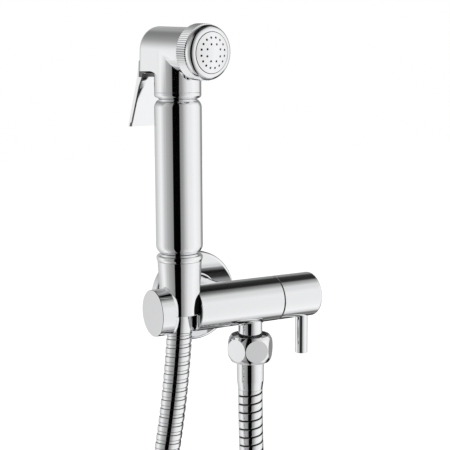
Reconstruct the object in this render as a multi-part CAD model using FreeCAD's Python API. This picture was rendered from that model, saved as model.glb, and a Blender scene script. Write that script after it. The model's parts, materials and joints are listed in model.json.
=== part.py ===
import FreeCAD, Part
import math
import os

V = FreeCAD.Vector
X_AXIS = V(1, 0, 0)
Y_AXIS = V(0, 1, 0)
Z_AXIS = V(0, 0, 1)

# Hand spray kit for a wall: a shut-off valve that also holds the handset, the trigger handset
# and one metal hose between them. Lengths are millimetres, angles are degrees.
# The origin is the centre of the wall flange on the wall. X runs right along the wall,
# Y into the wall and Z up.

# Fits and gaps, as radial or face clearances
running = 0.05
thread_gap = 0.1
seat_gap = 0.08
joint_gap = 0.6

# Length of cutters that pass right through a piece
cutter_l = 60.0

# Wall flange and inlet
flange_r = 26.7
flange_t = 6.0
flange_wall = 1.6
flange_round = 2.2
hub_r = 13.4
hub_t = 1.2
neck_r = 12.0
neck_end = 1.2
inlet_thread_r = 10.48
inlet_thread_l = 12.0
connector_r = 8.3
connector_l = 15.0
connector_bore = 6.2
port_r = 5.5
check_start = -9.0
check_end = 1.0
check_wall = 1.6
check_stem_r = 1.2
check_arm = 1.0
filter_back = 3.0
filter_t = 2.0
filter_rim = 1.2
filter_mesh_t = 0.6
filter_hole_r = 0.9

# Barrel of the valve
wall_gap = 35.0
barrel_r = 13.0
joint_x = 35.7
edge_round = 0.5
chamber_r = 9.0
chamber_x = 8.0

# Holder at the left end of the barrel
handset_x = -25.8
slot_shift = 0.8
slot_x = handset_x - slot_shift
slot_half = 8.0
slot_round = 0.4
cap_t = 8.5

# Outlet and hose nut
outlet_x = 20.1
outlet_neck_r = 7.0
outlet_bore = 4.5
outlet_flare = 1.0
outlet_thread_r = 10.3
outlet_thread_top = -21.2
outlet_thread_end = -31.2
nut_top = -20.0
nut_h = 15.5
nut_wall = 3.5
nut_r = outlet_thread_r + nut_wall
nut_top_r = outlet_thread_r + 1.0
nut_low_r = outlet_thread_r + 0.7
nut_flats = 2 * outlet_thread_r + nut_wall
nut_turn = -13.0
nut_lip = 1.6
washer_t = 1.7
ferrule_r = 7.85
ferrule_neck_r = 7.95
ferrule_end_r = 7.15
ferrule_end = -52.3
ferrule_taper = 4.0
ferrule_flange_t = 1.0

# Ceramic headwork
seal_t = 1.6
disc_t = 3.0
disc_r = 7.2
disc_port_r = 1.6
housing_bore = 7.3
housing_l = 27.0
hex_flats = 19.0
hex_t = 5.0
spindle_r = 3.95
spindle_end = 57.8
driver_l = 6.4
driver_w = 5.2
window_l = 5.0
window_w = 7.0
groove_floor_r = 2.35
spindle_ring_r = 3.15
spindle_cord_r = 0.75
clip_t = 0.8
clip_r = 5.4

# Knob and lever pin
knob_l = 26.3
knob_round = 1.8
knob_bore = 11.5
hub_x = 43.0
lever_x = 55.9
lever_r = 3.75
lever_end = -35.4
lever_seat = -11.8
lever_thread_r = 2.45
grub_key = 2.5
grub_l = 4.0

# Handset, measured from the barrel's axis upwards
handset_turn = 10.8
tail_tilt = 4.0
tail_r = 6.8
tail_low_r = 7.1
tail_bore = 3.4
tail_top = -4.0
tail_step = 0.15
tail_end = -12.2
barb_r = 4.5
barb_l = 11.0
tail_head_r = barrel_r - 3.6
tail_head_z = 9.5
tail_head_t = 2.4
nut_bottom_z = -1.9
nut_bottom_r = barrel_r - 2.1
cone_high_z = 12.2
cone_high_r = barrel_r - 1.6
cone_top_z = 28.2
cone_top_r = barrel_r - 0.65
seat_floor = nut_bottom_z - seat_gap
inlet_r = cone_top_r - 2.0
inlet_start_z = 13.9
bead_r = 12.9
waist_r = 10.4
grip_low_z = 32.6
grip_high_z = 117.4
grip_r = 13.0
grip_round = 4.6
grip_bore = 9.0
spigot_l = 11.0
collar_z = grip_high_z + 3.6
collar_r = 12.85
o_ring_t = 1.7

# Spray head, measured from the handset's axis along the spray axis
head_z = collar_z + 22.4
head_tilt = 3.0
head_r = 12.75
head_back = 20.0
head_front = 17.4
head_round = 4.5
notch_z = collar_z + 11.5
notch_round = 2.5
water_r = 5.0
valve_r = 4.9
gland_r = 5.0
gland_in = 9.5
seat_y = 5.5
seat_t = 3.0
seat_r = 7.0
seat_hole = 2.8
mouth_bore = 10.0
spigot_r = 11.6
spigot_end = 23.2
gasket_t = 0.9
plate_r = 10.7
plate_edge = 29.3
plate_crown = 31.2
plate_t = 1.3
plate_gap = 0.06
hole_r = 0.6
outer_hole_count = 16
outer_hole_ring = 7.97
inner_hole_count = 8
inner_hole_ring = 4.74
bezel_w = 2.2
bezel_r = plate_r + bezel_w
bezel_end = 29.1
bezel_flange_r = bezel_r + 0.5
ring_mouth_r = bezel_r + 0.08
ring_wall = 2.0
ring_r = ring_mouth_r + ring_wall
ring_start = 17.6
ring_knurl_l = 6.9
ring_end = 28.7
ring_step = 0.45
ring_lip = 1.1
ring_edge = 0.9
ring_groove_w = 0.55
ring_groove_t = 1.5
knurl_count = 80
knurl_depth = 0.4

# Lever and stem, in the tilted frame of the head: y backwards, z up from the spray axis
pivot_y = 17.6
pivot_z = -10.2
pivot_r = 1.25
ear_r = 3.0
lug_half = 8.4
lug_r = 3.0
lug_web = 2.2
pocket_half = 10.4
pocket_depth = 6.2
pocket_top = -6.4
lever_w = 20.0
sheet_t = 1.2
lever_bend_y = 23.3
lever_bend_z = -17.4
lever_tip_y = 30.4
lever_tip_z = -43.0
lever_rim = 0.9
fork_half = 5.0
fork_slot = 2.4
fork_top = 3.4
stem_r = 1.9
stem_front = -2.0
stem_seal_r = 4.3
stem_seal_t = 1.5
button_r = 3.6
button_y = 22.4
button_t = 2.4
spring_coils = 5
spring_r = 3.2
spring_wire = 0.6
stem_head_t = 1.6

# Hose
hose_r = 7.2
hose_groove_r = 6.5
hose_bore = 5.0
hose_ribs = 184
rib_groove = 0.7
rib_slope = 0.5
bore_step = 12.0
hose_end_gap = 0.05
# The hose's hanging route below its two ends, chosen as it would fall
hose_route = [
    (20.1, -35, -90),
    (24.5, -35.5, -144),
    (37, -37, -202),
    (55, -39, -261),
    (72, -41, -296),
    (80, -42, -351.5),
    (70.5, -42.5, -386.5),
    (53, -43, -411.5),
    (30, -43.5, -428.5),
    (4.5, -44, -437),
    (-23, -44, -437),
    (-48.5, -43.5, -429),
    (-70.5, -43, -413),
    (-87, -42, -389.5),
    (-97, -41, -358),
    (-98, -39.5, -321.5),
    (-88, -38, -266),
    (-71.5, -36.5, -209),
    (-53.5, -35.5, -152),
    (-38, -35, -97),
    (-28.6, -35, -42.1),
]


def via(r, z):
    """Point on the arc that joins the outline's points before and after it."""
    return ("via", r, z)


def rounded(before, here, after, radius):
    """Start, middle and end of the arc that rounds a corner."""
    back = (before - here).normalize()
    ahead = (after - here).normalize()
    half = back.getAngle(ahead) / 2
    middle = (back + ahead).normalize()
    reach = radius / math.tan(half)
    bite = radius / math.sin(half) - radius
    return here + back * reach, here + middle * bite, here + ahead * reach


def outline(corners):
    """Closed face in the XZ plane from (r, z) corners; a third value rounds the corner."""
    spots = [c for c in corners if c[0] != "via"]
    points = [V(c[0], 0, c[1]) for c in spots]
    count = len(points)
    arcs = []
    for i, spot in enumerate(spots):
        if len(spot) == 3:
            arcs.append(rounded(points[i - 1], points[i], points[(i + 1) % count], spot[2]))
        else:
            arcs.append((points[i], None, points[i]))
    middles = {}
    index = -1
    for c in corners:
        if c[0] == "via":
            middles[index] = V(c[1], 0, c[2])
        else:
            index += 1
    edges = []
    for i in range(count):
        start, middle, end = arcs[i]
        if middle is not None:
            edges.append(Part.Arc(start, middle, end).toShape())
        goal = arcs[(i + 1) % count][0]
        if i in middles:
            edges.append(Part.Arc(end, middles[i], goal).toShape())
        elif (goal - end).Length > 1e-6:
            edges.append(Part.LineSegment(end, goal).toShape())
    return Part.Face(Part.Wire(edges))


def turned(corners):
    """Solid of revolution about Z from an outline of (r, z) corners."""
    return outline(corners).revolve(V(0, 0, 0), Z_AXIS, 360)


def ring(inner, outer, low, high):
    """Plain ring or tube about Z."""
    return turned([(inner, low), (outer, low), (outer, high), (inner, high)])


def rod(radius, low, high):
    """Plain cylinder about Z."""
    return Part.makeCylinder(radius, high - low, V(0, 0, low))


def block(x_range, y_range, z_range):
    """Box between two values along each axis."""
    low = V(x_range[0], y_range[0], z_range[0])
    sizes = [r[1] - r[0] for r in (x_range, y_range, z_range)]
    return Part.makeBox(sizes[0], sizes[1], sizes[2], low)


def o_ring(centre_r, cord_r, z):
    """Rubber ring of round section about Z."""
    return Part.makeTorus(centre_r, cord_r, V(0, 0, z), Z_AXIS)


def hexagon(flats, low, high, turn=0.0):
    """Hexagonal bar about Z, with one flat facing -Y before the turn."""
    corner = flats / 2 / math.cos(math.radians(30))
    points = []
    for i in range(7):
        angle = math.radians(60 * i + turn)
        points.append(V(corner * math.cos(angle), corner * math.sin(angle), low))
    return Part.Face(Part.makePolygon(points)).extrude(V(0, 0, high - low))


def laid_right(shape):
    """Turn a shape made along Z to lie along X on the barrel's axis."""
    moved = shape.copy()
    moved.Placement = FreeCAD.Placement(V(0, -wall_gap, 0), FreeCAD.Rotation(Z_AXIS, X_AXIS))
    return moved


def laid_in(shape):
    """Turn a shape made along Z to lie along Y, into the wall."""
    moved = shape.copy()
    moved.Placement = FreeCAD.Placement(V(0, 0, 0), FreeCAD.Rotation(Z_AXIS, Y_AXIS))
    return moved


def at_outlet(shape):
    """Move a shape made about Z to the outlet's axis."""
    return shape.translated(V(outlet_x, -wall_gap, 0))


def at_handset(shape):
    """Move a shape made about Z, spraying to -Y, to the handset's place and turn."""
    moved = shape.copy()
    moved.rotate(V(0, 0, 0), Z_AXIS, handset_turn)
    moved.translate(V(handset_x, -wall_gap, 0))
    return moved


def tilted(shape):
    """Bring a shape from the frame of the spray axis into the handset's frame."""
    moved = shape.copy()
    moved.rotate(V(0, 0, 0), X_AXIS, head_tilt)
    moved.translate(V(0, 0, head_z))
    return moved


def along_spray(shape):
    """Turn a shape made along Z to lie along the spray axis, with +Z to the front."""
    moved = shape.copy()
    moved.rotate(V(0, 0, 0), X_AXIS, 90)
    return tilted(moved)


def edges_at_x(shape, x):
    """Edges of a shape that lie in the plane at one X."""
    found = []
    for edge in shape.Edges:
        box = edge.BoundBox
        if abs(box.XMin - x) < 0.001 and abs(box.XMax - x) < 0.001:
            found.append(edge)
    return found


def cone_profile(gap):
    """Outside of the conical nut from its bottom to its cone's top, with a gap around it."""
    return [
        (nut_bottom_r + gap, nut_bottom_z),
        (cone_high_r + gap, cone_high_z),
        (cone_top_r + gap, cone_top_z),
    ]


def wall_flange():
    face = -flange_t
    inner_face = face + flange_wall
    shell = turned([
        (flange_r - flange_wall, 0),
        (flange_r, 0),
        (flange_r, face, flange_round),
        (hub_r + 0.6, face),
        (hub_r, face - hub_t, 0.4),
        (neck_r + thread_gap, face - hub_t),
        (neck_r + thread_gap, inner_face),
        (flange_r - flange_wall, inner_face, 1.0),
    ])
    return laid_in(shell)


def outlet_edges(body):
    """Saddle curve where the outlet's neck meets the barrel."""
    found = []
    for edge in body.Edges:
        box = edge.BoundBox
        beside = abs(box.XMin - outlet_x + outlet_neck_r) < 0.01 or abs(box.XMax - outlet_x - outlet_neck_r) < 0.01
        if beside and -barrel_r - 0.01 < box.ZMin and box.ZMax < -barrel_r / 2 - 0.01 and box.ZLength > 0.1:
            found.append(edge)
    return found


def valve_body():
    left_x = slot_x - slot_half - cap_t
    barrel = turned([
        (0, left_x),
        (barrel_r, left_x, edge_round),
        (barrel_r, joint_x, edge_round / 2),
        (0, joint_x),
    ])
    body = laid_right(barrel)
    slot = Part.makeCylinder(slot_half, 4 * barrel_r, V(slot_x, -wall_gap, -2 * barrel_r))
    front = block(
        (slot_x - slot_half, slot_x + slot_half),
        (-wall_gap - 2 * barrel_r, -wall_gap),
        (-2 * barrel_r, 2 * barrel_r),
    )
    body = body.cut(slot.fuse(front).removeSplitter())
    rims = edges_at_x(body, slot_x - slot_half) + edges_at_x(body, slot_x + slot_half)
    body = body.makeFillet(slot_round, rims)
    neck = laid_in(rod(neck_r, -wall_gap, -neck_end))
    stub = turned([
        (0, -barrel_r / 2),
        (0, outlet_thread_end),
        (outlet_thread_r, outlet_thread_end, edge_round),
        (outlet_thread_r, outlet_thread_top),
        (outlet_neck_r, outlet_thread_top),
        (outlet_neck_r, -barrel_r / 2),
    ])
    body = body.fuse([neck, at_outlet(stub)]).removeSplitter()
    body = body.makeFillet(outlet_flare, outlet_edges(body))
    cuts = [
        seat_cutter(),
        laid_right(rod(chamber_r, chamber_x, joint_x + 1)),
        laid_right(rod(port_r, 0, chamber_x + 1)),
        laid_in(rod(port_r, -wall_gap, -neck_end)),
        laid_in(rod(connector_r + thread_gap, -neck_end - connector_l, 0)),
        at_outlet(rod(outlet_bore, outlet_thread_end - 1, 0)),
    ]
    return body.cut(cuts)


def seat_cutter():
    """Space that the cone of the handset's nut fills in the holder."""
    sides = cone_profile(seat_gap)
    corners = [(0, seat_floor), (sides[0][0], seat_floor)] + sides + [(0, cone_top_z)]
    return turned(corners).translated(V(handset_x, -wall_gap, 0))


def inlet_connector():
    start = -neck_end - connector_l + 0.5
    return laid_in(turned([
        (connector_bore, start),
        (connector_r, start),
        (connector_r, -neck_end),
        (inlet_thread_r, -neck_end),
        (inlet_thread_r, inlet_thread_l - 1),
        (inlet_thread_r - 1, inlet_thread_l),
        (connector_bore, inlet_thread_l),
    ]))


def check_valve():
    """Non-return cartridge: a shell, a guide on a cross and the poppet in one stand-in."""
    shell = ring(connector_bore - check_wall, connector_bore - running, check_start, check_end)
    foot = check_start + 1
    guide = ring(check_stem_r, check_stem_r + check_arm, foot, foot + 5)
    reach = connector_bore - check_wall + 0.4
    half = check_arm / 2
    arms = block((-reach, reach), (-half, half), (foot, foot + 2))
    arms = arms.fuse(block((-half, half), (-reach, reach), (foot, foot + 2)))
    poppet = turned([
        (0, foot),
        (check_stem_r, foot),
        (check_stem_r, check_end - 3),
        (connector_bore - 2.2, check_end - 1.5),
        (0, check_end - 1),
    ])
    return laid_in(shell.fuse([guide, arms, poppet]).removeSplitter())


def inlet_filter():
    low = inlet_thread_l - filter_back
    inner = connector_bore - filter_rim
    rim = ring(inner, connector_bore - running, low, low + filter_t)
    mesh_low = low + (filter_t - filter_mesh_t) / 2
    mesh = rod(inner + 0.2, mesh_low, mesh_low + filter_mesh_t)
    hole = rod(filter_hole_r, low, low + filter_t)
    holes = [hole]
    for i in range(6):
        angle = math.radians(60 * i)
        spot = V(math.cos(angle), math.sin(angle), 0) * (0.6 * inner)
        holes.append(hole.translated(spot))
    return laid_in(rim.fuse(mesh).removeSplitter().cut(holes))


def cartridge_seal():
    return laid_right(ring(port_r, disc_r, chamber_x, chamber_x + seal_t))


def sector_ports(low, high):
    """Two opposite quarter openings of a ceramic disc."""
    quarter = ring(disc_port_r, port_r - thread_gap, low, high)
    one = block((0, port_r), (0, port_r), (low, high))
    other = block((-port_r, 0), (-port_r, 0), (low, high))
    wedges = one.fuse(other)
    return quarter.common(wedges)


def fixed_ceramic_disc():
    low = chamber_x + seal_t
    return laid_right(rod(disc_r, low, low + disc_t).cut(sector_ports(low - 1, low + disc_t + 1)))


def moving_ceramic_disc():
    low = chamber_x + seal_t + disc_t + running
    disc = rod(disc_r - 0.2, low, low + disc_t)
    ports = sector_ports(low - 1, low + disc_t + 1)
    ports.rotate(V(0, 0, 0), Z_AXIS, 90)
    return laid_right(disc.cut(ports))


def cartridge_body():
    start = chamber_x + 0.4
    driver_end = chamber_x + seal_t + 2 * disc_t + driver_l + 0.5
    tube = ring(housing_bore, chamber_r - thread_gap, start, driver_end)
    neck = ring(spindle_r + running, chamber_r - thread_gap, driver_end, joint_x)
    nut = hexagon(hex_flats, joint_x, joint_x + hex_t).cut(rod(spindle_r + running, 0, joint_x + 20))
    window_start = chamber_x + seal_t + 2 * disc_t + 0.8
    window = block((-window_w / 2, window_w / 2), (-cutter_l, cutter_l), (window_start, window_start + window_l))
    return laid_right(tube.fuse([neck, nut]).removeSplitter().cut(window))


def cartridge_spindle():
    start = chamber_x + seal_t + 2 * disc_t + 2 * running
    driver = rod(disc_r - 0.4, start, start + driver_l)
    driver = driver.common(block((-driver_w / 2, driver_w / 2), (-cutter_l, cutter_l), (0, cutter_l)))
    groove = joint_x - 4
    clip = joint_x + hex_t + 0.3
    shaft = turned([
        (0, start + 1),
        (spindle_r, start + 1),
        (spindle_r, groove),
        (groove_floor_r, groove),
        (groove_floor_r, groove + 2),
        (spindle_r, groove + 2),
        (spindle_r, clip),
        (spindle_r - 0.7, clip),
        (spindle_r - 0.7, clip + clip_t + 0.2),
        (spindle_r, clip + clip_t + 0.2),
        (spindle_r, spindle_end - 0.4),
        (spindle_r - 0.4, spindle_end),
        (0, spindle_end),
    ])
    return laid_right(shaft.fuse(driver).removeSplitter())


def spindle_o_ring():
    return laid_right(o_ring(spindle_ring_r, spindle_cord_r, joint_x - 3))


def spindle_clip():
    low = joint_x + hex_t + 0.35
    clip = ring(spindle_r - 0.65, clip_r, low, low + clip_t)
    return laid_right(clip.cut(block((-1.6, 1.6), (0, 8), (low - 1, low + clip_t + 1))))


def knob():
    start = joint_x + joint_gap
    end = joint_x + knob_l + joint_gap
    cap = turned([
        (knob_bore, start),
        (barrel_r, start, edge_round / 2),
        (barrel_r, end, knob_round),
        (0, end),
        (0, spindle_end + 0.3),
        (spindle_r + 0.03, spindle_end + 0.3),
        (spindle_r + 0.03, hub_x),
        (knob_bore, hub_x),
    ])
    cap = laid_right(cap)
    bore = Part.makeCylinder(lever_thread_r + running, cutter_l, V(lever_x, -wall_gap, -cutter_l))
    spot = Part.makeCylinder(lever_r + running, cutter_l, V(lever_x, -wall_gap, lever_seat - cutter_l))
    return cap.cut([bore, spot])


def lever_pin():
    grub_end = -spindle_r - 0.05 - grub_l
    pin = turned([
        (0, grub_end - 0.2),
        (0, lever_end),
        (lever_r, lever_end, 0.4),
        (lever_r, lever_seat),
        (lever_thread_r, lever_seat),
        (lever_thread_r, grub_end - 0.2),
    ])
    return pin.translated(V(lever_x, -wall_gap, 0))


def lever_grub_screw():
    top = -spindle_r - 0.05
    screw = rod(lever_thread_r, top - grub_l, top)
    screw = screw.cut(hexagon(grub_key, top - grub_l - 1, top - grub_l + 2))
    return screw.translated(V(lever_x, -wall_gap, 0))


def hose_hex_nut():
    bottom = nut_top - nut_h
    shell = turned([
        (outlet_thread_r + thread_gap, bottom + nut_lip),
        (ferrule_neck_r + 0.3, bottom + nut_lip),
        (ferrule_neck_r + 0.3, bottom),
        (nut_low_r, bottom),
        via(nut_r, bottom + nut_h / 2),
        (nut_top_r, nut_top),
        (outlet_thread_r + thread_gap + 0.4, nut_top),
        (outlet_thread_r + thread_gap, nut_top - 0.4),
    ])
    return at_outlet(shell.common(hexagon(nut_flats, bottom - 1, nut_top + 1, nut_turn)))


def outlet_washer():
    return at_outlet(ring(outlet_bore, outlet_thread_r - 0.4, outlet_thread_end - washer_t, outlet_thread_end))


def hose_ferrule():
    top = outlet_thread_end - washer_t
    return at_outlet(turned([
        (barb_r - 1.0, top),
        (outlet_thread_r - 0.4, top),
        (outlet_thread_r - 0.4, top - ferrule_flange_t),
        (ferrule_neck_r, top - ferrule_flange_t),
        (ferrule_neck_r, nut_top - nut_h),
        (ferrule_r, ferrule_end + ferrule_taper + 1.0, 3.0),
        (ferrule_end_r, ferrule_end),
        (barb_r, ferrule_end),
        (barb_r, ferrule_end - barb_l),
        (barb_r - 1.0, ferrule_end - barb_l),
    ]))


def in_tail(shape):
    """Tilt a shape of the hose tail about the point where it leaves the conical nut."""
    moved = shape.copy()
    moved.rotate(V(0, 0, tail_top), Y_AXIS, tail_tilt)
    return moved


def hose_collar():
    """Swivel tail: a headed sleeve inside the conical nut and a tilted tail with its barb."""
    top = tail_head_z + tail_head_t
    swivel = turned([
        (0, tail_top - 1.0),
        (tail_r, tail_top - 1.0),
        (tail_r, tail_head_z),
        (tail_head_r, tail_head_z),
        (tail_head_r, top),
        (0, top),
    ])
    tail = in_tail(turned([
        (0, tail_top),
        (tail_r + tail_step, tail_top),
        (tail_low_r, tail_end, 0.3),
        (barb_r, tail_end),
        (barb_r, tail_end - barb_l),
        (0, tail_end - barb_l),
    ]))
    bores = [
        rod(tail_bore, tail_top - 1.0, top + 1),
        in_tail(rod(tail_bore + tail_step, tail_end - barb_l - 1, tail_top - 0.3)),
    ]
    collar = swivel.fuse(tail).removeSplitter().cut(bores)
    return collar.translated(V(handset_x, -wall_gap, 0))


def cone_nut():
    outside = cone_profile(0)
    outside[0] = outside[0] + (0.5,)
    outside[1] = outside[1] + (4.0,)
    outside[2] = outside[2] + (0.3,)
    inside = [
        (inlet_r + thread_gap, cone_top_z),
        (inlet_r + thread_gap, inlet_start_z),
        (tail_head_r + 0.3, inlet_start_z),
        (tail_head_r + 0.3, tail_head_z - running),
        (tail_r + running, tail_head_z - running),
        (tail_r + running, nut_bottom_z),
    ]
    return at_handset(turned(outside + inside))


def cone_washer():
    low = tail_head_z + tail_head_t + running
    return at_handset(ring(tail_bore, tail_head_r, low, inlet_start_z))


def o_ring_groove(z):
    """Cutter for the groove of a rubber ring in a spigot of the grip."""
    return ring(grip_bore - o_ring_t, grip_bore + 1, z - 1.2, z + 1.2)


def spigot_ring(z):
    """Rubber ring that seals a spigot in the grip's bore."""
    cord_r = o_ring_t / 2 - running
    return at_handset(o_ring(grip_bore - o_ring_t / 2, cord_r, z))


def handset_inlet():
    low = cone_top_z + 0.1
    body = turned([
        (water_r, inlet_start_z),
        (inlet_r, inlet_start_z),
        (inlet_r, low),
        (cone_top_r, low),
        (bead_r, low + 1.2, 1.0),
        (bead_r, grip_low_z - 1.3, 1.5),
        (waist_r, grip_low_z - 0.05),
        (grip_bore - running, grip_low_z - 0.05),
        (grip_bore - running, grip_low_z + spigot_l),
        (water_r, grip_low_z + spigot_l),
    ])
    return at_handset(body.cut(o_ring_groove(grip_low_z + spigot_l / 2)))


def grip_end(z_end, z_side):
    """Middle of the arc that is tangent to the grip's side and ends at the waist."""
    length = abs(z_side - z_end)
    drop = grip_r - waist_r
    radius = (length * length + drop * drop) / (2 * drop)
    angle = math.asin(length / radius) / 2
    direction = 1 if z_end > z_side else -1
    r = grip_r - radius * (1 - math.cos(angle))
    return via(r, z_side + direction * radius * math.sin(angle))


def grip():
    low_side = grip_low_z + grip_round
    high_side = grip_high_z - grip_round
    return at_handset(turned([
        (grip_bore, grip_low_z),
        (waist_r, grip_low_z),
        grip_end(grip_low_z, low_side),
        (grip_r, low_side),
        (grip_r, high_side),
        grip_end(grip_high_z, high_side),
        (waist_r, grip_high_z),
        (grip_bore, grip_high_z),
    ]))


def upper_ring():
    low = grip_high_z + 0.05
    return at_handset(turned([
        (grip_bore, low),
        (waist_r, low),
        (bead_r, low + 1.1, 1.8),
        (collar_r, collar_z - 0.05, 0.25),
        (grip_bore, collar_z - 0.05),
    ]))


def arch(half, back, front, low):
    """Tunnel shape along Y: round above the spray axis, straight sides below it."""
    left = V(-half, back, 0)
    right = V(half, back, 0)
    edges = [
        Part.Arc(left, V(0, back, half), right).toShape(),
        Part.LineSegment(right, V(half, back, low)).toShape(),
        Part.LineSegment(V(half, back, low), V(-half, back, low)).toShape(),
        Part.LineSegment(V(-half, back, low), left).toShape(),
    ]
    return Part.Face(Part.Wire(edges)).extrude(V(0, front - back, 0))


def head_back_block():
    """Rear of the head with its rounded rim, in the handset's frame."""
    low = -2 * head_r
    rear = arch(head_r, head_back, 0, low)
    rims = []
    for edge in rear.Edges:
        box = edge.BoundBox
        if abs(box.YMin - head_back) < 0.001 and box.YLength < 0.001 and box.ZMax > low + 0.001:
            rims.append(edge)
    rear = tilted(rear.makeFillet(head_round, rims))
    return rear.cut(block((-cutter_l, cutter_l), (-cutter_l, cutter_l), (0, notch_z)))


def pivot_lug():
    """Lug that hangs in the pocket and carries the pivot pin, in the tilted frame."""
    web = block((-lug_half, lug_half), (pivot_y - lug_web, pivot_y + lug_web), (pivot_z, pocket_top + 0.5))
    eye = Part.makeCylinder(lug_r, 2 * lug_half, V(-lug_half, pivot_y, pivot_z), X_AXIS)
    return web.fuse(eye)


def notch_edges(body):
    """Arc where the underside of the head meets the round column."""
    found = []
    for edge in body.Edges:
        box = edge.BoundBox
        flat = abs(box.ZMin - notch_z) < 0.001 and abs(box.ZMax - notch_z) < 0.001
        if flat and isinstance(edge.Curve, Part.Circle) and abs(edge.Curve.Radius - collar_r) < 0.001:
            found.append(edge)
    return found


def head_body():
    column = rod(collar_r, collar_z, head_z)
    front = along_spray(turned([
        (0, 0),
        (head_r, 0),
        (head_r, head_front, 0.4),
        (spigot_r, head_front),
        (spigot_r, spigot_end),
        (0, spigot_end),
    ]))
    spigot = rod(grip_bore - running, grip_high_z - spigot_l, collar_z + 1)
    body = column.fuse([front, head_back_block(), spigot]).removeSplitter()
    body = body.makeFillet(notch_round, notch_edges(body))
    pocket = tilted(block(
        (-pocket_half, pocket_half),
        (head_back - pocket_depth, head_back + 5),
        (-3 * head_r, pocket_top),
    ))
    keep = rod(collar_r, 0, head_z)
    pocket = pocket.cut(keep)
    cuts = [
        pocket,
        o_ring_groove(grip_high_z - spigot_l / 2),
        rod(water_r, 0, head_z),
        along_spray(rod(valve_r, -gland_in - 1, seat_y)),
        along_spray(rod(gland_r, -head_back - 5, -gland_in)),
        along_spray(rod(seat_r + running, seat_y, seat_y + seat_t + 0.5)),
        along_spray(rod(mouth_bore, seat_y + seat_t, spigot_end + 1)),
    ]
    body = body.cut(cuts)
    body = body.fuse(tilted(pivot_lug())).removeSplitter()
    pin_hole = Part.makeCylinder(pivot_r, cutter_l, V(-cutter_l / 2, pivot_y, pivot_z), X_AXIS)
    keep_walls = block((-lug_half - 1, lug_half + 1), (0, cutter_l), (-cutter_l, 0))
    return at_handset(body.cut(tilted(pin_hole.common(keep_walls))))


def valve_seat():
    return at_handset(along_spray(ring(seat_hole, seat_r, seat_y, seat_y + seat_t)))


def gland_nut():
    low = -head_back + 0.4
    high = -gland_in - 0.1
    body = ring(stem_r + running, gland_r - thread_gap, low, high)
    groove = ring(0.5, stem_r + 1.6, -gland_in - 4, -gland_in - 2.3)
    slot = block((-1, 1), (-8, 8), (low - 1, low + 1.2))
    return at_handset(along_spray(body.cut([groove, slot])))


def gland_o_ring():
    return at_handset(along_spray(o_ring(stem_r + 0.8, 0.72, -gland_in - 3.15)))


def valve_stem():
    stem = turned([
        (0, seat_y - stem_seal_t),
        (stem_seal_r - 0.3, seat_y - stem_seal_t),
        (stem_seal_r - 0.3, seat_y - stem_seal_t - stem_head_t),
        (stem_r, seat_y - stem_seal_t - stem_head_t),
        (stem_r, -button_y - button_t + 0.8),
        (0, -button_y - button_t + 0.8),
    ])
    return at_handset(along_spray(stem))


def stem_seal():
    return at_handset(along_spray(rod(stem_seal_r, seat_y - stem_seal_t, seat_y - 0.02)))


def stem_button():
    low = -button_y - button_t
    return at_handset(along_spray(turned([
        (0, low),
        (button_r, low, 0.6),
        (button_r, -button_y),
        (stem_r, -button_y),
        (stem_r, low + 0.8),
        (0, low + 0.8),
    ])))


def return_spring():
    """Coil spring between the stem's head and the end wall of the valve chamber."""
    front = seat_y - stem_seal_t - stem_head_t - spring_wire / 2 - 0.02
    back = -gland_in + 2.4
    length = front - back
    helix = Part.makeHelix(length / spring_coils, length, spring_r)
    start = V(spring_r, 0, 0)
    profile = Part.Wire(Part.Circle(start, V(0, 1, 0), spring_wire / 2).toShape())
    coil = Part.Wire(helix.Edges).makePipeShell([profile], True, True)
    return at_handset(along_spray(coil.translated(V(0, 0, back))))


def knurled_band(low, high):
    """Band with straight ribs all round."""
    points = []
    for i in range(2 * knurl_count + 1):
        angle = math.pi * i / knurl_count
        r = ring_r if i % 2 == 0 else ring_r - knurl_depth
        points.append(V(r * math.cos(angle), r * math.sin(angle), low))
    return Part.Face(Part.makePolygon(points)).extrude(V(0, 0, high - low))


def knurled_ring():
    knurl_end = ring_start + ring_knurl_l
    low = spigot_end + 0.5
    flange_end = spigot_end + gasket_t + 1.4
    outside = turned([
        (0, knurl_end),
        (ring_r - ring_step, knurl_end, 0.2),
        (ring_mouth_r + ring_lip, ring_end, ring_edge),
        (0, ring_end),
    ])
    inside = turned([
        (0, ring_start - 1),
        (spigot_r + thread_gap, ring_start - 1),
        (spigot_r + thread_gap, low - 0.4),
        (bezel_flange_r + 0.1, low - 0.4),
        (bezel_flange_r + 0.1, flange_end),
        (ring_mouth_r, flange_end),
        (ring_mouth_r, ring_end - ring_groove_t),
        (ring_mouth_r + ring_groove_w, ring_end - ring_groove_t),
        (ring_mouth_r + ring_groove_w, ring_end + 1),
        (0, ring_end + 1),
    ])
    body = knurled_band(ring_start, knurl_end).fuse(outside).removeSplitter().cut(inside)
    return at_handset(along_spray(body))


def rose_gasket():
    return at_handset(along_spray(ring(mouth_bore, spigot_r, spigot_end, spigot_end + gasket_t)))


def bezel_ring():
    low = spigot_end + gasket_t
    step = low + 1.3
    middle = plate_r + bezel_w / 2
    return at_handset(along_spray(turned([
        (plate_r + plate_gap + 0.8, low),
        (bezel_flange_r, low),
        (bezel_flange_r, step),
        (bezel_r, step),
        (bezel_r, bezel_end - 0.4),
        via(middle, bezel_end),
        (plate_r + plate_gap, bezel_end - 0.8),
        (plate_r + plate_gap, low + 1.0),
        (plate_r + plate_gap + 0.8, low + 1.0),
    ])))


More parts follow.
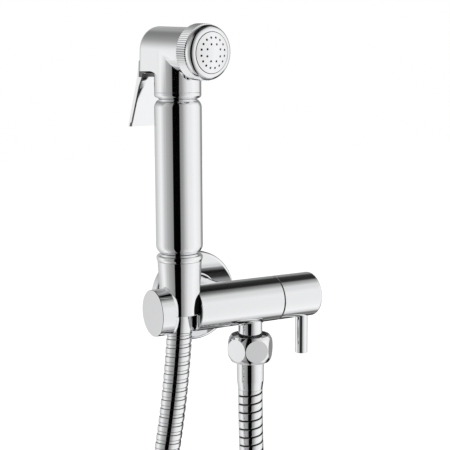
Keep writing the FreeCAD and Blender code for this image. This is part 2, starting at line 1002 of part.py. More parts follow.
def spray_plate():
    low = spigot_end + gasket_t
    dome = turned([
        (0, plate_crown),
        via(plate_r / 2, plate_crown - (plate_crown - plate_edge) / 4 - 0.1),
        (plate_r, plate_edge),
        (plate_r, low + 0.95),
        (plate_r + 0.8, low + 0.95),
        (plate_r + 0.8, low),
        (plate_r - plate_t, low),
        (plate_r - plate_t, plate_edge - plate_t),
        (0, plate_crown - plate_t - 0.3),
    ])
    holes = []
    rings = [(outer_hole_count, outer_hole_ring), (inner_hole_count, inner_hole_ring)]
    for count, radius in rings:
        for i in range(count):
            angle = math.radians(360.0 * (i + 0.5) / count)
            spot = V(radius * math.cos(angle), radius * math.sin(angle), 0)
            holes.append(rod(hole_r, plate_edge - 4, plate_crown + 1).translated(spot))
    return at_handset(along_spray(dome.cut(holes)))


def pivot_pin():
    length = lever_w - 0.6
    pin = Part.makeCylinder(pivot_r - 0.02, length, V(-length / 2, pivot_y, pivot_z), X_AXIS)
    return at_handset(tilted(pin))


def lever_sheet():
    """Side view of the bent lever plate, extruded to its width."""
    top = V(0, head_back + 0.3, fork_top)
    top_out = top + V(0, sheet_t, 0)
    bend_out = V(0, lever_bend_y, lever_bend_z)
    tip_out = V(0, lever_tip_y, lever_tip_z)
    lean = (tip_out - bend_out).normalize()
    inward = V(0, lean.z, -lean.y)
    tip_in = tip_out + inward * sheet_t
    bend_in = bend_out + V(0, -sheet_t - 0.05, 0)
    knee_out = V(0, head_back + 0.3 + sheet_t, pocket_top)
    knee_in = V(0, head_back + 0.3, pocket_top - 0.2)
    points = [top, top_out, knee_out, bend_out, tip_out, tip_in, bend_in, knee_in, top]
    side = Part.Face(Part.makePolygon(points))
    return side.extrude(V(lever_w, 0, 0)).translated(V(-lever_w / 2, 0, 0))


def lever_cheek(x):
    """One folded side of the lever with the ear round the pivot pin."""
    lean_y = (lever_tip_y - lever_bend_y) / (lever_bend_z - lever_tip_z)
    rim = sheet_t + lever_rim
    points = [
        V(x, pivot_y, pivot_z + ear_r),
        V(x, head_back + 0.5, pivot_z + ear_r),
        V(x, lever_bend_y - 0.2, lever_bend_z),
        V(x, lever_tip_y - 0.2 - 2 * lean_y, lever_tip_z + 2),
        V(x, lever_tip_y - rim - 2 * lean_y, lever_tip_z + 2),
        V(x, lever_bend_y - rim, lever_bend_z - 3),
        V(x, pivot_y, pivot_z - ear_r),
    ]
    points.append(points[0])
    side = Part.Face(Part.makePolygon(points)).extrude(V(sheet_t, 0, 0))
    ear = Part.makeCylinder(ear_r, sheet_t, V(x, pivot_y, pivot_z), X_AXIS)
    return side.fuse(ear)


def trigger_lever():
    half = lever_w / 2
    plate = lever_sheet()
    for low, high in ((-lever_w, -fork_half), (fork_half, lever_w)):
        plate = plate.cut(block((low, high), (0, cutter_l), (pocket_top + 0.2, cutter_l)))
    plate = plate.cut(block((-fork_slot, fork_slot), (0, cutter_l), (-fork_slot - 0.6, cutter_l)))
    body = plate.fuse([lever_cheek(-half), lever_cheek(half - sheet_t)]).removeSplitter()
    hole = Part.makeCylinder(pivot_r + running, cutter_l, V(-cutter_l / 2, pivot_y, pivot_z), X_AXIS)
    return at_handset(tilted(body.cut(hole)))


def tail_point(z):
    """Point on the tilted axis of the hose tail, in the part's frame."""
    turn = FreeCAD.Rotation(Y_AXIS, tail_tilt)
    centre = V(0, 0, tail_top)
    return centre + turn.multVec(V(0, 0, z) - centre) + V(handset_x, -wall_gap, 0)


def hose_points():
    """All points of the hose's centre line, from the ferrule to the handset's tail."""
    start = V(outlet_x, -wall_gap, ferrule_end - hose_end_gap)
    return [start] + [V(*p) for p in hose_route] + [tail_point(tail_end - hose_end_gap)]


def hose_path(points):
    """Straight runs joined by tangent arcs, each as large as its two runs allow."""
    edges = []
    radii = []
    start = points[0]
    for before, here, after in zip(points, points[1:], points[2:]):
        back = (before - here).normalize()
        ahead = (after - here).normalize()
        half_turn = (math.pi - back.getAngle(ahead)) / 2
        run = min((before - here).Length, (after - here).Length)
        radius = 0.45 * run / math.tan(half_turn)
        first, middle, last = rounded(before, here, after, radius)
        edges.append(Part.LineSegment(start, first).toShape())
        edges.append(Part.Arc(first, middle, last).toShape())
        radii.append(radius)
        start = last
    edges.append(Part.LineSegment(start, points[-1]).toShape())
    print("hose arc radii", [round(r) for r in radii], "length", round(sum(e.Length for e in edges), 1))
    return edges


def place_on(edges, distance):
    """Point and direction of a chain of edges at a distance along it."""
    for edge in edges:
        if distance <= edge.Length + 1e-7:
            spot = edge.getParameterByLength(min(distance, edge.Length))
            return edge.valueAt(spot), edge.tangentAt(spot)
        distance -= edge.Length
    last = edges[-1]
    return last.valueAt(last.LastParameter), last.tangentAt(last.LastParameter)


def hose_circle(edges, distance, radius):
    """Circle across the hose whose X axis stays close to the part's Y axis."""
    point, direction = place_on(edges, distance)
    side = (Y_AXIS - direction * Y_AXIS.dot(direction)).normalize()
    turn = FreeCAD.Rotation(side, direction.cross(side), direction, "ZXY")
    circle = Part.makeCircle(radius)
    circle.Placement = FreeCAD.Placement(point, turn)
    return Part.Wire(circle)


def shower_hose():
    """Ribbed metal hose with its bore, square to the fittings at both ends."""
    edges = hose_path(hose_points())
    length = sum(e.Length for e in edges)
    pitch = (length - 2 * rib_slope) / hose_ribs
    places = [(0, hose_r)]
    for i in range(hose_ribs):
        start = rib_slope + i * pitch
        groove = start + pitch - rib_groove
        places.append((start, hose_groove_r))
        places.append((start + rib_slope, hose_r))
        places.append((groove - rib_slope, hose_r))
        places.append((groove, hose_groove_r))
    places.append((length, hose_r))
    outside = Part.makeLoft([hose_circle(edges, s, r) for s, r in places], True, True)
    stations = [0]
    travelled = 0
    for edge in edges:
        parts = 1 if isinstance(edge.Curve, Part.Line) else max(2, round(edge.Length / bore_step))
        for k in range(parts):
            stations.append(travelled + edge.Length * (k + 1) / parts)
        travelled += edge.Length
    bore = Part.makeLoft([hose_circle(edges, s, hose_bore) for s in stations], True, True)
    hose = outside.cut(bore)
    section = math.pi * (hose_r ** 2 - hose_bore ** 2)
    print("hose volume over section times length", round(hose.Volume / (section * length), 3))
    return hose


SUB_PARTS = {
    "wall_flange": wall_flange,
    "valve_body": valve_body,
    "inlet_connector": inlet_connector,
    "check_valve": check_valve,
    "inlet_filter": inlet_filter,
    "cartridge_seal": cartridge_seal,
    "fixed_ceramic_disc": fixed_ceramic_disc,
    "cartridge_body": cartridge_body,
    "outlet_washer": outlet_washer,
    "hose_hex_nut": hose_hex_nut,
    "hose_ferrule": hose_ferrule,
    "shower_hose": shower_hose,
    "knob": knob,
    "lever_pin": lever_pin,
    "lever_grub_screw": lever_grub_screw,
    "cartridge_spindle": cartridge_spindle,
    "moving_ceramic_disc": moving_ceramic_disc,
    "spindle_o_ring": spindle_o_ring,
    "spindle_clip": spindle_clip,
    "hose_collar": hose_collar,
    "cone_nut": cone_nut,
    "cone_washer": cone_washer,
    "handset_inlet": handset_inlet,
    "lower_o_ring": lambda: spigot_ring(grip_low_z + spigot_l / 2),
    "grip": grip,
    "upper_ring": upper_ring,
    "upper_o_ring": lambda: spigot_ring(grip_high_z - spigot_l / 2),
    "head_body": head_body,
    "valve_seat": valve_seat,
    "gland_nut": gland_nut,
    "gland_o_ring": gland_o_ring,
    "knurled_ring": knurled_ring,
    "rose_gasket": rose_gasket,
    "bezel_ring": bezel_ring,
    "spray_plate": spray_plate,
    "pivot_pin": pivot_pin,
    "trigger_lever": trigger_lever,
    "valve_stem": valve_stem,
    "stem_seal": stem_seal,
    "stem_button": stem_button,
    "return_spring": return_spring,
}

os.makedirs("parts", exist_ok=True)
for name, make in SUB_PARTS.items():
    shape = make()
    count = len(shape.Solids)
    print(name, "valid" if shape.isValid() else "NOT VALID", "solids", count, "volume", round(shape.Volume, 1))
    shape.exportStep("parts/" + name + ".step")
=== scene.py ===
# %% [markdown]
# A hand spray kit for the wall: a shut-off valve with a holder, a trigger handset and a metal hose.
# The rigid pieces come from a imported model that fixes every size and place. This lesson gives
# them their finish, models the hose strip by strip, and lights polished chrome so that it reads.

# %% Load the fixed frame
import json
import math

import bmesh
import bpy
from mathutils import Matrix, Vector


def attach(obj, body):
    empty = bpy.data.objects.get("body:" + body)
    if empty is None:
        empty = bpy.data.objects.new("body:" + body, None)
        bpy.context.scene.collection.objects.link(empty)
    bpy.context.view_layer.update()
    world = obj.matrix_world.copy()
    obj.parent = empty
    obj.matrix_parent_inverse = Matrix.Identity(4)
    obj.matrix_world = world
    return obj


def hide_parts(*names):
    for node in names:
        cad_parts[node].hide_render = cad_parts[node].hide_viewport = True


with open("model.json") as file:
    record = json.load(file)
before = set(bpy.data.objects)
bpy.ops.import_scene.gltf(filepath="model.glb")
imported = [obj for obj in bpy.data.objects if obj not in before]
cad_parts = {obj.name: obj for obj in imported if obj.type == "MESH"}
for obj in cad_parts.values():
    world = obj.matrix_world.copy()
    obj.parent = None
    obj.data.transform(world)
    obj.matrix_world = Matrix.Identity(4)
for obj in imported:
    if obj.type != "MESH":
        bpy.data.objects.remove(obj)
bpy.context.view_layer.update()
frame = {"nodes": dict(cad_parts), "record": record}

MM = 0.001
nodes = frame["nodes"]
print("nodes", len(nodes))

# %% [markdown]
# The camera stands a little above the valve, to its left and in front, with a fairly long lens,
# as a catalogue photographer would place it. A matrix is used because the camera also has a
# slight roll, which a pair of angles would hide.

# %% Camera
right = Vector((0.8659, -0.5002, -0.0051))
up = Vector((0.0752, 0.1201, 0.9899))
back = right.cross(up)
turn = Matrix((right, up, back)).transposed().to_4x4()
lens = bpy.data.cameras.new("catalogue_camera")
lens.lens = 86.77
lens.sensor_width = 36
lens.clip_start = 0.01
camera = bpy.data.objects.new("catalogue_camera", lens)
camera.matrix_world = Matrix.Translation((-0.3011, -0.5631, 0.1330)) @ turn
bpy.context.scene.collection.objects.link(camera)
bpy.context.scene.camera = camera
print("camera looks along", [round(-x, 3) for x in back])

# %% [markdown]
# The hose is one fixed length that hangs in a loop from the valve's outlet round to the tail of
# the handset. Its line is a smooth curve through the hanging route, whose control points are in
# millimetres. A curve object is read once for its points, so that the strip can be laid on them.

# %% Route of the hose
hose_route = [
    (20.1, -35, -52.35), (20.1, -35, -90), (24.5, -35.5, -144), (37, -37, -202),
    (55, -39, -261), (72, -41, -296), (80, -42, -351.5), (70.5, -42.5, -386.5),
    (53, -43, -411.5), (30, -43.5, -428.5), (4.5, -44, -437), (-23, -44, -437),
    (-48.5, -43.5, -429), (-70.5, -43, -413), (-87, -42, -389.5), (-97, -41, -358),
    (-98, -39.5, -321.5), (-88, -38, -266), (-71.5, -36.5, -209), (-53.5, -35.5, -152),
    (-38, -35, -97), (-28.6, -35, -42.1), (-26.37, -35, -12.23),
]


def route_points(control_points):
    """Evenly read points of the smooth line through a route."""
    line = bpy.data.curves.new("hose_line", "CURVE")
    line.dimensions = "3D"
    line.resolution_u = 24
    spline = line.splines.new("NURBS")
    spline.points.add(len(control_points) - 1)
    for point, place in zip(spline.points, control_points):
        point.co = (place[0] * MM, place[1] * MM, place[2] * MM, 1)
    spline.order_u = 3
    spline.use_endpoint_u = True
    holder = bpy.data.objects.new("hose_line", line)
    read = bpy.data.meshes.new_from_object(holder)
    points = [v.co.copy() for v in read.vertices]
    bpy.data.objects.remove(holder)
    bpy.data.meshes.remove(read)
    return points


hose_line = route_points(hose_route)
hose_length = sum((b - a).length for a, b in zip(hose_line, hose_line[1:]))
print("hose points", len(hose_line), "length", round(hose_length, 4))

# %% [markdown]
# Shader maths reads best as plain expressions. This small class wraps one socket, and its
# operators add the Math nodes behind the scenes.


# %% Shader maths
class Wire:
    """One output socket whose operators add Math nodes."""

    def __init__(self, tree, socket):
        self.tree = tree
        self.socket = socket

    def node(self, kind, settings=None, values=None, output=0):
        """Add a node, with its settings first and then the values or wires of its sockets."""
        made = self.tree.nodes.new(kind)
        for key, value in (settings or {}).items():
            if key == "stops":
                elements = made.color_ramp.elements
                elements.remove(elements[1])
                elements[0].position = 0
                for place, grey in sorted(value):
                    stop = elements[0] if place == 0 else elements.new(place)
                    stop.color = (grey, grey, grey, 1)
            else:
                setattr(made, key, value)
        for key, value in (values or {}).items():
            if isinstance(value, Wire):
                self.tree.links.new(value.socket, made.inputs[key])
            else:
                made.inputs[key].default_value = value
        return Wire(self.tree, made.outputs[output]) if made.outputs else None

    def math(self, operation, other=None, swap=False):
        """Add a Math node on this wire and, if given, another wire or number."""
        pair = [self] if other is None else [self, other]
        if swap:
            pair.reverse()
        return self.node("ShaderNodeMath", {"operation": operation}, dict(enumerate(pair)))

    def __add__(self, other):
        return self.math("ADD", other)

    __radd__ = __add__

    def __mul__(self, other):
        return self.math("MULTIPLY", other)

    __rmul__ = __mul__

    def __sub__(self, other):
        return self.math("SUBTRACT", other)

    def __rsub__(self, other):
        return self.math("SUBTRACT", other, swap=True)

    def between(self, low, high):
        """0 below low, 1 above high and smooth on the way."""
        values = {"Value": self, "From Min": low, "From Max": high}
        return self.node("ShaderNodeMapRange", {"interpolation_type": "SMOOTHSTEP"}, values)


def new_tree(owner):
    """Empty node tree of a material or world, with a first wire to start from."""
    owner.use_nodes = True
    owner.node_tree.nodes.clear()
    return Wire(owner.node_tree, None)


# %% [markdown]
# Chrome has no colour of its own: it shows the room. The room here is white with two broad soft
# lights, a narrow black flag by the camera, and dark places behind the valve, on the ceiling and
# low down. It is written in the world, by heading and height in degrees, so that every piece
# mirrors the same room. Diffuse things get one plain level of light instead.

# %% Room
bpy.context.scene.view_settings.view_transform = "Standard"
world = bpy.data.worlds.new("studio")
bpy.context.scene.world = world
start = new_tree(world)
direction = start.node("ShaderNodeTexCoord", output="Generated")
split = start.node("ShaderNodeSeparateXYZ", values={0: direction})
x_part, y_part, z_part = (Wire(start.tree, split.socket.node.outputs[i]) for i in range(3))
heading = x_part.math("ARCTAN2", y_part, swap=True) * (0.5 / math.pi) + 1.5
heading = heading.math("FRACT")
height = z_part.math("ARCSINE") * (180 / math.pi)
drop = height.math("MULTIPLY", -1)


def turned_to(degrees):
    """Place of a heading on the ramp, which starts at 180 degrees, the left of the room."""
    return ((degrees - 180) % 360) / 360


room_plan = [
    (180, 0.47), (192, 0.40), (207, 0.31), (214, 0.27), (215.5, 0.001), (248.6, 0.001),
    (250.4, 0.26), (262, 0.34), (275, 0.60), (290, 0.83), (325, 0.97), (345, 0.93), (7, 0.82),
    (15, 0.50), (26, 0.27), (58, 0.30), (72, 0.52), (112, 0.66), (130, 0.84), (148, 0.95),
    (163, 0.72), (172, 0.55),
]
stops = [(turned_to(degrees), brightness) for degrees, brightness in room_plan]
walls = start.node("ShaderNodeValToRGB", {"stops": stops}, {"Fac": heading})
behind = heading.between(0.48, 0.53) * (1 - heading.between(0.68, 0.73))
far_left = heading.between(0.69, 0.78) * (1 - heading.between(0.93, 0.97))
ceiling = 1 - height.between(20, 45) * 0.2 - height.between(44, 66) * 0.75
canopy = 1 - behind * height.between(22, 42) * 0.85
skirting = 1 - behind * height.between(-48, -38) * (1 - height.between(-22, -16)) * 0.95
ground = 1 - drop.between(50, 64) * 0.4 - behind * (1 - height.between(-58, -44)) * 0.5
dusk = 1 - far_left * height.between(0, 34) * 0.55
mirrored = walls * ceiling * canopy * skirting * ground * dusk
rays = start.node("ShaderNodeLightPath", output="Is Glossy Ray")
background = start.node("ShaderNodeBackground", values={"Color": mirrored * rays + (1 - rays)})
start.node("ShaderNodeOutputWorld", values={"Surface": background})
print("room plan has", len(stops), "stops, and its world", len(start.tree.nodes), "nodes")

# %% [markdown]
# The floor is a wide pale sheet under the hanging hose. One soft lamp above the camera's left
# gives that shadow.

# %% Floor and soft light
floor_level = -0.4465
floor_mesh = bpy.data.meshes.new("floor")
sheet = bmesh.new()
bmesh.ops.create_grid(sheet, x_segments=1, y_segments=1, size=6)
bmesh.ops.translate(sheet, verts=sheet.verts, vec=(0, 0, floor_level))
sheet.to_mesh(floor_mesh)
sheet.free()
floor = bpy.data.objects.new("floor", floor_mesh)
bpy.context.scene.collection.objects.link(floor)
floor.visible_glossy = False
pale = bpy.data.materials.new("pale_floor")
start = new_tree(pale)
paint = start.node("ShaderNodeBsdfPrincipled", values={
    "Base Color": (0.86, 0.86, 0.86, 1), "Roughness": 0.8,
    "Emission Color": (1, 1, 1, 1), "Emission Strength": 0.25,
})
start.node("ShaderNodeOutputMaterial", values={"Surface": paint})
floor_mesh.materials.append(pale)

lamp_place = Vector((-0.9, -1.2, 1.3))
lamp = bpy.data.lights.new("soft_light", "AREA")
lamp.size = 1.2
lamp.energy = 4
soft_light = bpy.data.objects.new("soft_light", lamp)
aim = lamp_place.to_track_quat("Z", "Y").to_matrix().to_4x4()
soft_light.matrix_world = Matrix.Translation(lamp_place) @ aim
soft_light.visible_glossy = False
bpy.context.scene.collection.objects.link(soft_light)
print("floor at", floor_level, "and lamp at", tuple(lamp_place))

# %% [markdown]
# Bright chrome plate is a mirror with a trace of life in it, a little uneven roughness from
# wiping, and painted shade where a point attribute asks for it: the colour goes near black and
# a little rougher there. Turned brass and steel also keep a faint ripple from the tool.


# %% Metal finishes
def metal(name, colour, rough, rough_spread, ripple=0.0, grain=(1, 1, 1), with_painted_shade=False):
    """Metal that wanders a little; a point attribute paints shade on it, near black and rougher."""
    finish = bpy.data.materials.new(name)
    start = new_tree(finish)
    place = start.node("ShaderNodeTexCoord", output="Object")
    place = start.node("ShaderNodeMapping", values={"Vector": place, "Scale": grain})
    cloud = {"Vector": place, "Scale": 60.0, "Detail": 4.0}
    cloud = start.node("ShaderNodeTexNoise", values=cloud)
    shades = {0: cloud, 6: (*[c * 0.97 for c in colour], 1), 7: (*colour, 1)}
    tint = start.node("ShaderNodeMix", {"data_type": "RGBA"}, shades, output=2)
    roughness = cloud * rough_spread + rough
    # Painted shade: where the point attribute is set, the colour goes near black and the finish a
    # little rougher.
    if with_painted_shade:
        mark = start.node("ShaderNodeAttribute", {"attribute_name": "dull"}, output="Fac")
        shades = {0: mark, 6: tint, 7: (0.02, 0.02, 0.02, 1)}
        tint = start.node("ShaderNodeMix", {"data_type": "RGBA"}, shades, output=2)
        roughness = roughness + mark * 0.25
    values = {"Base Color": tint, "Metallic": 1.0, "Roughness": roughness}
    if ripple:
        marks = {"Vector": place, "Scale": 300, "Detail": 3.0}
        marks = start.node("ShaderNodeTexNoise", values=marks)
        bump = {"Height": marks, "Strength": ripple, "Distance": 0.0002}
        values["Normal"] = start.node("ShaderNodeBump", values=bump)
    shader = start.node("ShaderNodeBsdfPrincipled", values=values)
    start.node("ShaderNodeOutputMaterial", values={"Surface": shader})
    return finish


chrome = metal("bright_chrome", (0.93, 0.935, 0.945), 0.02, 0.03, with_painted_shade=True)
brass = metal("machined_brass", (0.78, 0.58, 0.27), 0.25, 0.1, ripple=0.2, grain=(1, 1, 6))
steel = metal("plain_steel", (0.60, 0.61, 0.63), 0.22, 0.1, ripple=0.2)
print("metals", [finish.name for finish in (chrome, brass, steel)])

# %% [markdown]
# The hidden seals, discs and cartridge are rubber, ceramic and plastic. All three are plain
# moulded materials with a fine grain, so one recipe with other numbers serves them. The packed
# record says which finish each node has.


# %% Moulded finishes, and a finish on every node
def moulded(name, colour, rough, grain_scale, grain_depth):
    """Rubber, plastic or ceramic with a fine grain."""
    finish = bpy.data.materials.new(name)
    start = new_tree(finish)
    place = start.node("ShaderNodeTexCoord", output="Object")
    grain = {"Vector": place, "Scale": grain_scale, "Detail": 5.0}
    grain = start.node("ShaderNodeTexNoise", values=grain)
    shades = {0: grain, 6: (*[c * 0.8 for c in colour], 1), 7: (*colour, 1)}
    shade = start.node("ShaderNodeMix", {"data_type": "RGBA"}, shades, output=2)
    bump = {"Height": grain, "Strength": grain_depth, "Distance": 0.0002}
    bump = start.node("ShaderNodeBump", values=bump)
    values = {"Base Color": shade, "Roughness": grain * 0.15 + rough, "Normal": bump}
    shader = start.node("ShaderNodeBsdfPrincipled", values=values)
    start.node("ShaderNodeOutputMaterial", values={"Surface": shader})
    return finish


rubber = moulded("black_rubber", (0.025, 0.025, 0.027), 0.55, 400.0, 0.3)
white_plastic = moulded("white_plastic", (0.80, 0.80, 0.77), 0.35, 300.0, 0.1)
ceramic = moulded("lapped_ceramic", (0.88, 0.88, 0.85), 0.12, 200.0, 0.02)
finish_of_slot = {
    "chrome": chrome, "hose_metal": chrome, "brass": brass, "steel": steel,
    "ceramic": ceramic, "white_plastic": white_plastic, "black_rubber": rubber,
}
for part in frame["record"]["subparts"]:
    piece = nodes[part["node"]]
    piece.data.materials.clear()
    piece.data.materials.append(finish_of_slot[part["material_slot"]])

# %% [markdown]
# Some places get painted shade, a colour darkened where shade falls: the right side of the cone
# seat, the nut's bore, the edge of the head's notch and the fold of the lever below it. Each is
# found on the mesh by where it lies and which way it faces. The head is turned on the grip and
# tilted, so its places are read in its own directions, in which the spray leaves along minus Y.

# %% Places of painted shade
handset_axis = Vector((-25.8, -35.0, 0)) * MM
outlet_axis = Vector((20.1, -35.0, 0)) * MM
head = (
    Matrix.Translation(handset_axis) @ Matrix.Rotation(math.radians(10.8), 4, "Z")
    @ Matrix.Translation((0, 0, 143.4 * MM)) @ Matrix.Rotation(math.radians(3), 4, "X")
)
into_head = head.inverted()
seat_level = -2.4 * MM
seat_reach = 14 * MM
fold_levels = (-15.2, -14.2, -13.2, -12.2, -11)
fold_z = fold_levels[0]
fold_y = 21.3
corner_x = 8.3
cheek_top = -12
notch_levels = (-14, -11.5)


def seen_from_head(centre, normal):
    """Place in millimetres and direction of a face, in the head's own directions."""
    return (into_head @ centre) / MM, into_head.to_3x3() @ normal


def holder_recess(centre, normal):
    """Right side of the cone seat, which faces the handset's axis."""
    outward = (centre - handset_axis).to_2d()
    on_the_right = outward.x > 0 and normal.x < -0.1
    return centre.z > seat_level and outward.length < seat_reach and on_the_right


def nut_bore(centre, normal):
    """Thread of the hose nut, which faces the outlet's axis."""
    return (centre - outlet_axis).to_2d().dot(normal.to_2d()) < -0.5 * MM


def notch_roof(centre, normal):
    """Edge of the head's notch, which faces down over the lever."""
    place, facing = seen_from_head(centre, normal)
    return facing.z < -0.5 and notch_levels[0] < place.z < notch_levels[1] and place.y > 0


def lever_inside(centre, normal):
    """Top of the lever under the head, its two corners, and the inner sides of its cheeks."""
    place, facing = seen_from_head(centre, normal)
    outward = facing.x * math.copysign(1, place.x)
    to_the_front = facing.y < -0.5
    in_the_fold = place.z > fold_z and (to_the_front or outward > 0.5 and place.y < fold_y)
    in_a_corner = to_the_front and abs(place.x) > corner_x
    return in_the_fold or in_a_corner or outward < -0.5 and place.z < cheek_top


def fold_shade(point):
    """Painted shade, darker towards the hinge, deep in the fold, and dark all along the corners."""
    place = (into_head @ point) / MM
    if abs(place.x) > corner_x - 0.1:
        return 0.85
    return min(max(place.z - fold_z, 0) / 3.0, 1) * 0.5 + 0.45


# For each piece, the test and the depth of its painted shade.
painted_shade_places = {
    "valve_body": (holder_recess, lambda point: 1.0),
    "hose_hex_nut": (nut_bore, lambda point: 0.9),
    "head_body": (notch_roof, lambda point: 1.0),
    "trigger_lever": (lever_inside, fold_shade),
}


def paint_shade(shape, test, depth):
    """Paint shade on the faces that pass a test, by a depth of 0 to 1 at each point."""
    layer = shape.verts.layers.float.new("dull")
    chosen = {face for face in shape.faces if test(face.calc_center_median(), face.normal)}
    rims = [
        edge for edge in shape.edges
        if 0 < len(chosen.intersection(edge.link_faces)) < len(edge.link_faces)
    ]
    bmesh.ops.split_edges(shape, edges=rims)
    for vert in {vert for face in chosen for vert in face.verts}:
        vert[layer] = depth(vert.co)
    print("dull faces", len(chosen))


print("pieces with dull places", list(painted_shade_places))

# %% [markdown]
# A place of painted shade can end in the middle of a long face, which then needs a line of
# points there, and the knurled ring has to make room for the rounded shoulder in front of it.
# Both are cuts by a plane, which leave the form as it is.

# %% Cuts by a plane
shoulder_start = 24.5


def cut_across(shape, place, direction, clear=False):
    """Cut a shape by a plane and return the new edges."""
    everything = shape.verts[:] + shape.edges[:] + shape.faces[:]
    made = bmesh.ops.bisect_plane(
        shape, geom=everything, plane_co=place, plane_no=direction, clear_outer=clear
    )
    return [item for item in made["geom_cut"] if isinstance(item, bmesh.types.BMEdge)]


def cut_in_head(shape, point, along, clear=False):
    """Cut by a plane that is given in the head's own directions."""
    return cut_across(shape, head @ (Vector(point) * MM), head.to_3x3() @ Vector(along), clear)


def part_seat(shape):
    """Part the holder's walls at the level of the seat."""
    cut_across(shape, (0, 0, seat_level), (0, 0, 1))


def crease_lever(shape):
    """Levels and corners under the head, so that the painted shade of the fold can fade between
    them.
    """
    for level in fold_levels:
        cut_in_head(shape, (0, 0, level), (0, 0, 1))
    for corner in (-corner_x, corner_x):
        cut_in_head(shape, (corner, 0, 0), (1, 0, 0))
    cut_in_head(shape, (0, fold_y, 0), (0, 1, 0))


def trim_knurling(shape):
    """Keep the ribbed part of the ring, and close it where the rounded shoulder takes over."""
    rims = cut_in_head(shape, (0, -shoulder_start, 0), (0, -1, 0), clear=True)
    bmesh.ops.bridge_loops(shape, edges=rims)


reshaped = {"trigger_lever": crease_lever, "knurled_ring": trim_knurling, "valve_body": part_seat}
print("pieces with cuts", list(reshaped))

# %% [markdown]
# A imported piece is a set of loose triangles, which a mirror finish would show as facets. Each
# shown casting is copied, its points are merged, flat areas become single faces, and only its
# true edges stay sharp, so that reflections run over it as on a polished casting.

# %% Polished copies of the castings
sharp_edge = 28


def body_of(node):
    """Name of the moving body that a node belongs to."""
    for body, members in frame["record"]["behaviour"]["bodies"].items():
        if node in members:
            return body


def shade_smooth(shape, sharp):
    """Smooth all faces, but keep open edges and edges over an angle in degrees sharp."""
    for edge in shape.edges:
        edge.smooth = len(edge.link_faces) == 2 and edge.calc_face_angle() < math.radians(sharp)
    for face in shape.faces:
        face.smooth = True


def chromed(shape, name):
    """Object of a finished shape, with the chrome finish."""
    mesh = bpy.data.meshes.new(name)
    shape.to_mesh(mesh)
    shape.free()
    mesh.materials.append(chrome)
    piece = bpy.data.objects.new(name, mesh)
    bpy.context.scene.collection.objects.link(piece)
    return piece


def polished(node):
    """Smooth-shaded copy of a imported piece, which stands for it."""
    shape = bmesh.new()
    shape.from_mesh(nodes[node].data)
    bmesh.ops.remove_doubles(shape, verts=shape.verts, dist=1e-6)
    bmesh.ops.dissolve_limit(
        shape, angle_limit=math.radians(0.05), verts=shape.verts, edges=shape.edges,
        delimit={"NORMAL"},
    )
    if node in reshaped:
        reshaped[node](shape)
    shade_smooth(shape, sharp_edge)
    if node in painted_shade_places:
        paint_shade(shape, *painted_shade_places[node])
    piece = chromed(shape, "polished_" + node)
    weights = piece.modifiers.new("even_shading", "WEIGHTED_NORMAL")
    weights.keep_sharp = True
    weights.weight = 100
    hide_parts(node)
    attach(piece, body_of(node))
    return piece


castings = [
    "wall_flange", "valve_body", "hose_hex_nut", "hose_ferrule", "knob", "lever_pin", "hose_collar",
    "cone_nut", "handset_inlet", "grip", "upper_ring", "head_body", "knurled_ring", "spray_plate",
    "trigger_lever",
]
copies = {node: polished(node) for node in castings}
print("polished", len(copies), "points", sum(len(copy.data.vertices) for copy in copies.values()))

# %% [markdown]
# The spray ring ends in one full round that runs from its side wall to the edge of the plate.
# Its section is drawn as an arc with a small inner edge, in millimetres from the spray axis and
# along it, and spun round that axis.

# %% Rounded shoulder of the spray ring
shoulder_r = 3.25
arc_r, arc_depth = 11.2, 25.95
inner_edge_r = 0.25
inner_wall_r = arc_r - inner_edge_r
edge_depth = arc_depth + shoulder_r - inner_edge_r
inner_section = [(13.2, shoulder_start), (inner_wall_r, 26.0), (inner_wall_r, edge_depth)]
edge_steps, round_steps = 4, 12
for step in range(1, edge_steps + 1):
    angle = math.radians(90 * step / edge_steps)
    across, along = inner_edge_r * math.cos(angle), inner_edge_r * math.sin(angle)
    inner_section.append((arc_r - across, edge_depth + along))
outer_section = []
for step in range(1, round_steps + 1):
    angle = math.radians(90 * step / round_steps)
    across, along = shoulder_r * math.sin(angle), shoulder_r * math.cos(angle)
    outer_section.append((arc_r + across, arc_depth + along))
outer_section.append((arc_r + shoulder_r, shoulder_start))
shoulder = bmesh.new()
dull = shoulder.verts.layers.float.new("dull")
points = [
    shoulder.verts.new(head @ (Vector((radius, -depth, 0)) * MM))
    for radius, depth in inner_section + outer_section
]
# Painted shade on the inner wall of the shoulder, in the gap next to the plate.
for point in points[:4]:
    point[dull] = 0.9
loop = [shoulder.edges.new(pair) for pair in zip(points, points[1:] + points[:1])]
bmesh.ops.spin(
    shoulder, geom=points + loop, axis=head.to_3x3() @ Vector((0, -1, 0)),
    cent=head @ Vector((0, 0, 0)), dvec=(0, 0, 0), angle=2 * math.pi, steps=96, use_merge=True,
    use_duplicate=False,
)
bmesh.ops.recalc_face_normals(shoulder, faces=shoulder.faces)
shade_smooth(shoulder, sharp_edge)
rounded_shoulder = chromed(shoulder, "rounded_shoulder")
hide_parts("bezel_ring")
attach(rounded_shoulder, "handset")
print("shoulder faces", len(rounded_shoulder.data.polygons))
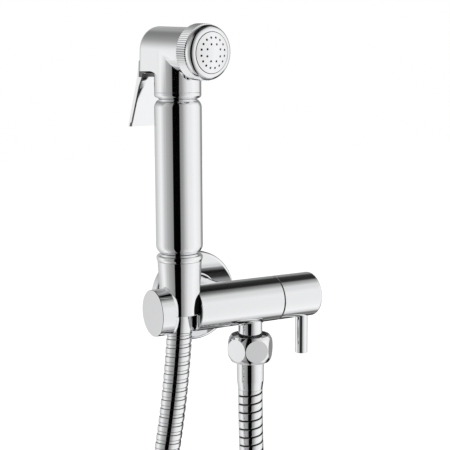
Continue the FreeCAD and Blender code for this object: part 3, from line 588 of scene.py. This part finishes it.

# %% [markdown]
# The hose is a steel strip wound in one long helix whose edges lock into each other, which is
# why its ribs lean a little. Half a pitch is written as distance in millimetres, radius and a
# painted shade for the grooves, and mirrored. The profile is spun round the axis with a small
# rise at every step, which gives one turn of the tube, and the turn is repeated.

# %% Straight wound strip
pitch_mm = 5.0
pitch = pitch_mm * MM
hose_r = 7.2 * MM
band_r = 6.9 * MM
groove_r = 6.6 * MM
# The third number of each point is painted shade, dark in the grooves.
half_profile = [
    (0.0, band_r, 0), (0.32, band_r, 0), (0.36, groove_r, 1), (0.62, groove_r, 1),
    (0.68, hose_r - 0.12 * MM, 1), (0.9, hose_r, 0.2), (1.2, hose_r + 0.01 * MM, 0),
    (2.5, hose_r + 0.03 * MM, 0),
]
other_half = [(pitch_mm - along, radius, dark) for along, radius, dark in half_profile[-2::-1]]
strip_profile = half_profile + other_half
steps_per_turn = 28
turns = math.ceil(hose_length / pitch) + 2
strip = bmesh.new()
dull = strip.verts.layers.float.new("dull")
line = [strip.verts.new((radius, 0, along * MM - pitch)) for along, radius, dark in strip_profile]
for vert, (along, radius, dark) in zip(line, strip_profile):
    vert[dull] = dark
edges = [strip.edges.new(pair) for pair in zip(line, line[1:])]
bmesh.ops.spin(
    strip, geom=line + edges, axis=(0, 0, 1), cent=(0, 0, 0),
    dvec=(0, 0, pitch / steps_per_turn), angle=2 * math.pi, steps=steps_per_turn,
    use_merge=False, use_duplicate=False,
)
one_turn = strip.verts[:] + strip.edges[:] + strip.faces[:]
for turn_number in range(1, turns):
    copied = bmesh.ops.duplicate(strip, geom=one_turn)["geom"]
    moved = [item for item in copied if isinstance(item, bmesh.types.BMVert)]
    bmesh.ops.translate(strip, verts=moved, vec=(0, 0, turn_number * pitch))
bmesh.ops.remove_doubles(strip, verts=strip.verts, dist=0.00002)
for end, outward in ((0.0, (0, 0, -1)), (hose_length, (0, 0, 1))):
    cut_across(strip, (0, 0, end), outward, clear=True)
bmesh.ops.recalc_face_normals(strip, faces=strip.faces)
shade_smooth(strip, 32)
print("strip faces", len(strip.faces))

# %% [markdown]
# Near the valve the strip's edges sit tight, and a turn ends in one line of painted shade. Towards
# the handset the hose is drawn apart, and the thin inner band shows between two lines of painted
# shade. Both come from moving each point along the tube by its place in the turn.

# %% Tight and drawn seams
seam_reach = 0.2
inner_band_reach = 0.08


def set_seams(shape, tight_to, drawn_from, drawn, tight):
    """Tighten the seams up to a distance and draw them apart past another."""
    layer = shape.verts.layers.float["dull"]
    for vert in shape.verts:
        turned = math.atan2(vert.co.y, vert.co.x) / (2 * math.pi)
        phase = (vert.co.z / pitch - turned) % 1
        from_seam = phase - round(phase)
        openness = min(max((vert.co.z - tight_to) / (drawn_from - tight_to), 0), 1)
        if 0.01 < phase < 0.99:
            vert.co.z -= (phase - 0.5) * drawn * openness * pitch
        if abs(from_seam) < seam_reach:
            vert.co.z -= from_seam * tight * (1 - openness) * pitch
        # Where the seam is tight, its inner band is drawn in and painted dark as shade.
        if abs(from_seam) < inner_band_reach:
            vert[layer] = 1 - openness
            narrower = 1 - (1 - groove_r / band_r) * (1 - openness)
            vert.co.x *= narrower
            vert.co.y *= narrower


set_seams(strip, hose_length * 0.45, hose_length * 0.6, drawn=0.16, tight=0.4)
print("seams set on", len(strip.verts), "points")

# %% [markdown]
# Laying the straight tube on the route is a move of its points only: height along the tube
# becomes distance along the line, and the cross-section turns with it. The sideways axis is kept
# close to the wall's normal all the way, so that the tube doesn't twist.


# %% Lay the strip on the route
def laid_on_route(shape, route):
    """Move the points of a straight tube along Z onto a line."""
    marks = [0.0]
    for a, b in zip(route, route[1:]):
        marks.append(marks[-1] + (b - a).length)
    ordered = sorted(shape.verts, key=lambda vert: vert.co.z)
    index = 0
    directions = [(b - a).normalized() for a, b in zip(route, route[1:])]
    for vert in ordered:
        along = min(max(vert.co.z, 0.0), marks[-1])
        while index < len(directions) - 1 and along > marks[index + 1]:
            index += 1
        share = (along - marks[index]) / (marks[index + 1] - marks[index])
        before = directions[max(index - 1, 0)] + directions[index]
        after = directions[index] + directions[min(index + 1, len(directions) - 1)]
        ahead = before.normalized().lerp(after.normalized(), share).normalized()
        side = (Vector((0, 1, 0)) - ahead * ahead.y).normalized()
        other = ahead.cross(side)
        centre = route[index].lerp(route[index + 1], share)
        vert.co = centre + side * vert.co.x + other * vert.co.y


laid_on_route(strip, hose_line)
hose = chromed(strip, "wound_hose")
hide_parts("shower_hose")
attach(hose, "wall_valve")
print("hose triangles", sum(len(face.vertices) - 2 for face in hose.data.polygons))
